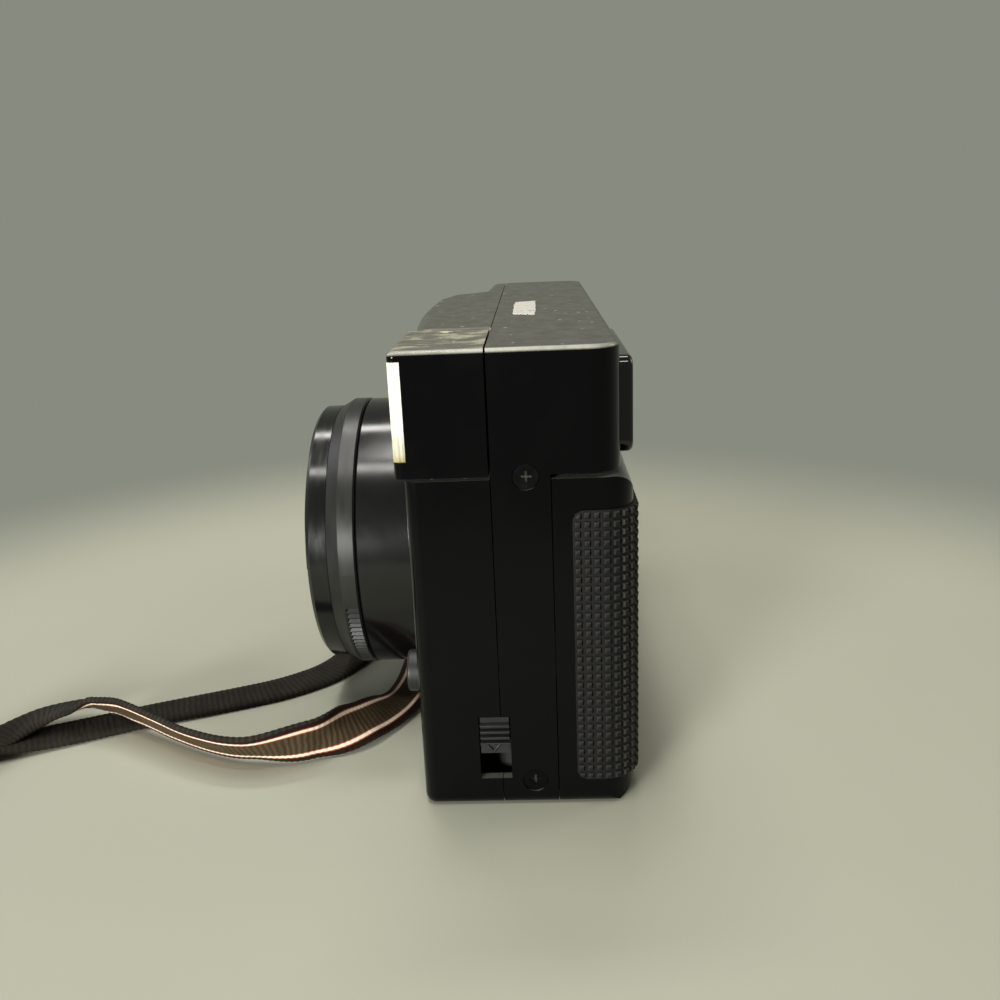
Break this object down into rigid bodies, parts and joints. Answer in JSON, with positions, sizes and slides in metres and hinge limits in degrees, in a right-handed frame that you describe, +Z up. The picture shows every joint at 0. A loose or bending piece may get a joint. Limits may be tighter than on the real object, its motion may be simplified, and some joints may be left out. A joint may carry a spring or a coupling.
{
  "type": "compact film camera",
  "caption": "Black compact film camera with a large fixed lens barrel, raised flash block, waffle rubber pad on the hinged rear door, and a flat striped wrist strap.",
  "frame": {"origin": "centre of the tripod socket's mouth, on the plane of the base", "axes": "X to the user's left, the flash side; -Y out of the lens; Z up"},
  "size_m": [0.1404, 0.1404, 0.077],
  "materials": {
    "body_plastic": "polished moulded ABS",
    "inner_plastic": "matte moulded, sprayed black inside",
    "ring_metal": "black anodised, satin",
    "gloss_plastic": "polished acrylic front, painted behind",
    "clear_plastic": "clear moulded acrylic",
    "optical_glass": "polished, coated",
    "frosted_plastic": "prismatic, frosted inside",
    "lamp_plastic": "translucent moulded",
    "board": "etched and lacquered laminate",
    "sleeve_plastic": "shrink sleeve",
    "gear_plastic": "moulded acetal",
    "cell_wrap": "plain printed wrap",
    "plain_steel": "rolled, plated",
    "mirror_metal": "bright anodised sheet",
    "button_metal": "black anodised",
    "button_plastic": "moulded, fine texture",
    "pad_rubber": "moulded waffle",
    "plate_black": "matt black lacquer",
    "spring_bronze": "rolled phosphor bronze",
    "foam": "open-cell foam",
    "bush_brass": "turned, nickel plated",
    "screw_black": "blackened steel",
    "lug_steel": "black painted steel",
    "keeper_vinyl": "pressed vinyl",
    "strap_webbing": "flat woven webbing"
  },
  "bodies": {
    "camera_body": {"front_shell": "body_plastic", "rear_shell": "body_plastic", "chassis": "inner_plastic", "lens_barrel": "ring_metal", "front_ring": "ring_metal", "lens_face": "inner_plastic", "metering_window": "clear_plastic", "shutter_block": "inner_plastic", "rear_glass": "optical_glass", "window_panel": "gloss_plastic", "finder_window": "clear_plastic", "af_windows": "clear_plastic", "af_module": "inner_plastic", "finder_tube": "inner_plastic", "eyepiece_bezel": "gloss_plastic", "eyepiece_lens": "clear_plastic", "ready_lamp": "lamp_plastic", "circuit_board": "board", "flash_capacitor": "sleeve_plastic", "motor": "plain_steel", "battery_cells": "cell_wrap", "battery_contacts": "plain_steel", "side_screws": "screw_black", "bottom_screws": "screw_black", "tripod_bush": "bush_brass", "strap_lug": "lug_steel", "strap_keeper": "keeper_vinyl", "wrist_strap": "strap_webbing", "hinge_pin": "plain_steel", "battery_pin": "plain_steel", "counter_window": "clear_plastic", "shutter_collar": "ring_metal", "front_pad": "pad_rubber"},
    "door": {"rear_door": "body_plastic", "grip_pad": "pad_rubber", "plate_spring": "spring_bronze", "light_seal": "foam"},
    "plate": {"pressure_plate": "plate_black"},
    "latch": {"latch_slide": "button_plastic"},
    "shutter_key": {"shutter_button": "button_metal"},
    "flash_unit": {"flash_housing": "body_plastic", "flash_window": "frosted_plastic", "flash_reflector": "mirror_metal", "flash_tube": "optical_glass"},
    "flash_button": {"flash_key": "button_plastic"},
    "speed_ring": {"film_speed_ring": "ring_metal"},
    "focus_cell": {"lens_cell": "ring_metal", "front_glass": "optical_glass"},
    "spool": {"take_up_spool": "inner_plastic"},
    "idler": {"idler_gear": "gear_plastic"},
    "film_sprocket": {"sprocket": "inner_plastic"},
    "fork": {"rewind_fork": "gear_plastic"},
    "rewind_slide": {"rewind_switch": "button_plastic"},
    "battery_flap": {"battery_door": "body_plastic", "battery_bridge": "plain_steel"},
    "frame_dial": {"counter_dial": "gear_plastic"}
  },
  "joints": [
    {"name": "door_hinge", "type": "hinge", "parent": "camera_body", "child": "door", "pos_m": [-0.0754, 0.00595, 0.028], "axis": [0, 0, 1], "range_deg": [0, 110]},
    {"name": "plate_float", "type": "slide", "parent": "door", "child": "plate", "axis": [0, 1, 0], "range_m": [0, 0.0008], "stiffness_N_per_m": 250, "deforming": ["plate_spring"]},
    {"name": "latch_travel", "type": "slide", "parent": "camera_body", "child": "latch", "axis": [0, 0, -1], "range_m": [0, 0.0044], "stiffness_N_per_m": 120},
    {"name": "shutter_press", "type": "slide", "parent": "camera_body", "child": "shutter_key", "axis": [0, 0, -1], "range_m": [0, 0.0016], "stiffness_N_per_m": 150},
    {"name": "flash_lift", "type": "slide", "parent": "camera_body", "child": "flash_unit", "axis": [0, 0, 1], "range_m": [0, 0.012]},
    {"name": "flash_key_press", "type": "slide", "parent": "camera_body", "child": "flash_button", "axis": [0, 1, 0], "range_m": [0, 0.0012], "stiffness_N_per_m": 150},
    {"name": "speed_setting", "type": "hinge", "parent": "camera_body", "child": "speed_ring", "pos_m": [0, -0.0342, 0.0324], "axis": [0, 1, 0], "range_deg": [-25, 25]},
    {"name": "focus_travel", "type": "slide", "parent": "camera_body", "child": "focus_cell", "axis": [0, -1, 0], "range_m": [0, 0.0012]},
    {"name": "spool_turn", "type": "hinge", "parent": "camera_body", "child": "spool", "pos_m": [-0.0425, 0.0046, 0.0293], "axis": [0, 0, 1], "continuous": true},
    {"name": "idler_turn", "type": "hinge", "parent": "camera_body", "child": "idler", "pos_m": [-0.03357, 0.00347, 0.0604], "axis": [0, 0, 1], "continuous": true},
    {"name": "sprocket_turn", "type": "hinge", "parent": "camera_body", "child": "film_sprocket", "pos_m": [-0.02662, 0.0026, 0.0324], "axis": [0, 0, 1], "continuous": true},
    {"name": "fork_turn", "type": "hinge", "parent": "camera_body", "child": "fork", "pos_m": [0.036, 0.0032, 0.055], "axis": [0, 0, 1], "continuous": true},
    {"name": "rewind_travel", "type": "slide", "parent": "camera_body", "child": "rewind_slide", "axis": [1, 0, 0], "range_m": [0, 0.004]},
    {"name": "battery_flap_hinge", "type": "hinge", "parent": "camera_body", "child": "battery_flap", "pos_m": [-0.04665, -0.01185, 0.001], "axis": [0, -1, 0], "range_deg": [0, 90]},
    {"name": "dial_turn", "type": "hinge", "parent": "camera_body", "child": "frame_dial", "pos_m": [-0.0533, -0.0118, 0.068], "axis": [0, 0, 1], "continuous": true}
  ],
  "couplings": [
    {"joint": "idler_turn", "follows": "spool_turn", "ratio": -2},
    {"joint": "sprocket_turn", "follows": "spool_turn", "ratio": 1.5}
  ]
}
